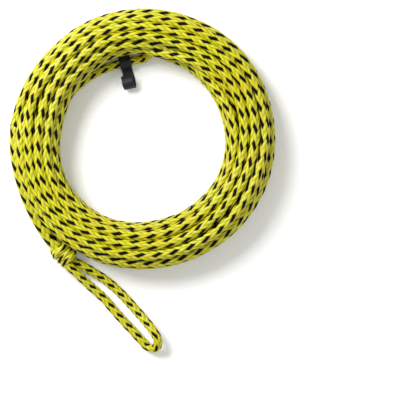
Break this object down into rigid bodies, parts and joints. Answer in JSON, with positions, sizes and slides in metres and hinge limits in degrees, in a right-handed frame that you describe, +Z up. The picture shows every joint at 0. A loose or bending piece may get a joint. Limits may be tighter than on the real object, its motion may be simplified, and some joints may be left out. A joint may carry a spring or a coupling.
{
  "type": "tow rope",
  "caption": "Coiled hollow-braid tow rope with a knotted loop at each end and a moulded plastic keeper that hooks over a strand.",
  "frame": {"origin": "bottom centre of the whole object's box, on the surface that the coil lies on", "axes": "+Z up, square to the coil's plane; +Y from the outlying loop towards the coil; +X to the right seen from above"},
  "size_m": [0.279, 0.3659, 0.046],
  "materials": {
    "rope_braid": "glossy filament braid, fluorescent yellow with black tracers",
    "splice_braid": "the same braid, stretched open over the buried tail",
    "tail_braid": "the same braid, inside the splice",
    "keeper_plastic": "satin black moulded plastic"
  },
  "bodies": {
    "rope": {"rope_coil": "rope_braid", "loop_a": "rope_braid", "knot_a": "rope_braid", "splice_cover_a": "splice_braid", "buried_tail_a": "tail_braid", "loop_b": "rope_braid", "knot_b": "rope_braid", "splice_cover_b": "splice_braid", "buried_tail_b": "tail_braid"},
    "keeper": {"rope_keeper": "keeper_plastic"}
  },
  "joints": [
    {"name": "keeper_swing", "type": "hinge", "parent": "rope", "child": "keeper", "pos_m": [-0.01844, 0.12273, 0.0073], "axis": [-0.974, -0.2267, 0], "range_deg": [0, 85]}
  ]
}
